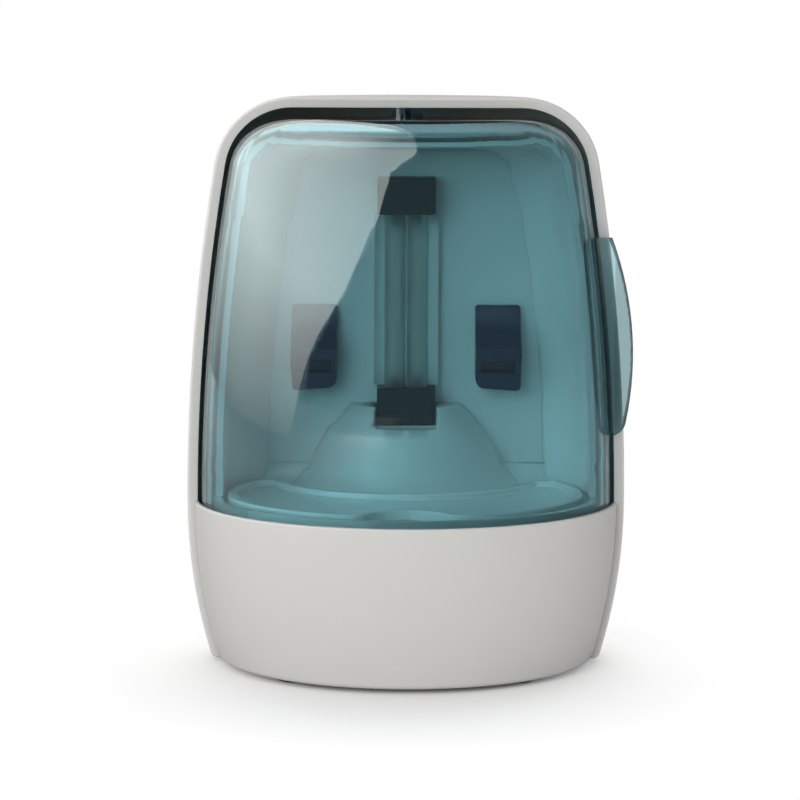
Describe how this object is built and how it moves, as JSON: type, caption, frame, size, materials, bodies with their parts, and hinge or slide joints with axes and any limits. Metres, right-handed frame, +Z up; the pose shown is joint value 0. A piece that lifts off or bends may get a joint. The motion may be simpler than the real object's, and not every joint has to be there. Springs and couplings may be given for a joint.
{
  "type": "pacifier steriliser cabinet",
  "caption": "Round countertop ultraviolet steriliser for pacifiers, with a turning clear door, twin-tube lamp, hooks and a lift-out tray.",
  "frame": {"origin": "on the floor, on the upright axis that the door turns about, at the middle of the case", "axes": "+X to the right seen from the front, +Y to the back, +Z up"},
  "size_m": [0.0871, 0.0846, 0.111],
  "materials": {
    "white_moulding": "satin white ABS",
    "chamber_moulding": "smooth white ABS",
    "clear_teal": "see-through teal polycarbonate",
    "black_moulding": "black polyamide",
    "navy_moulding": "navy ABS",
    "grey_moulding": "light grey ABS",
    "lamp_glass": "clear quartz glass",
    "reflector_sheet": "bright rolled sheet",
    "screw_steel": "plated steel",
    "foot_rubber": "matt rubber",
    "cell_sleeve": "plain dark sleeve",
    "board_laminate": "green laminate",
    "capacitor_sleeve": "shrink sleeve"
  },
  "bodies": {
    "case": {"back_shell": "white_moulding", "base_front": "white_moulding", "base_plate": "white_moulding", "base_screws": "screw_steel", "battery_cells": "cell_sleeve", "battery_cover": "white_moulding", "battery_cover_screw": "screw_steel", "capacitors": "capacitor_sleeve", "cell_contacts": "screw_steel", "chamber_liner": "chamber_moulding", "control_board": "board_laminate", "core_cover": "chamber_moulding", "core_screws": "screw_steel", "deck_screws": "screw_steel", "hook_left": "navy_moulding", "hook_right": "navy_moulding", "hook_screws": "screw_steel", "inverter_board": "board_laminate", "lamp_cap_lower": "black_moulding", "lamp_cap_upper": "black_moulding", "lamp_electrodes": "screw_steel", "lamp_reflector": "reflector_sheet", "lamp_tubes": "lamp_glass", "power_inlet": "black_moulding", "reed_switch": "lamp_glass", "rubber_feet": "foot_rubber", "tact_switch": "black_moulding", "transformer": "black_moulding"},
    "door": {"door": "clear_teal", "door_magnet": "screw_steel"},
    "tray": {"drip_tray": "chamber_moulding"},
    "button": {"power_button": "grey_moulding", "switch_plunger": "grey_moulding"}
  },
  "joints": [
    {"name": "door_turn", "type": "hinge", "parent": "case", "child": "door", "pos_m": [0, 0, 0], "axis": [0, 0, 1], "range_deg": [-162, 0]},
    {"name": "tray_lift", "type": "slide", "parent": "case", "child": "tray", "axis": [0, 0, 1], "range_m": [0, 0.012]},
    {"name": "button_press", "type": "slide", "parent": "case", "child": "button", "axis": [0, -1, 0], "range_m": [0, 0.0007], "stiffness_N_per_m": 1500}
  ]
}
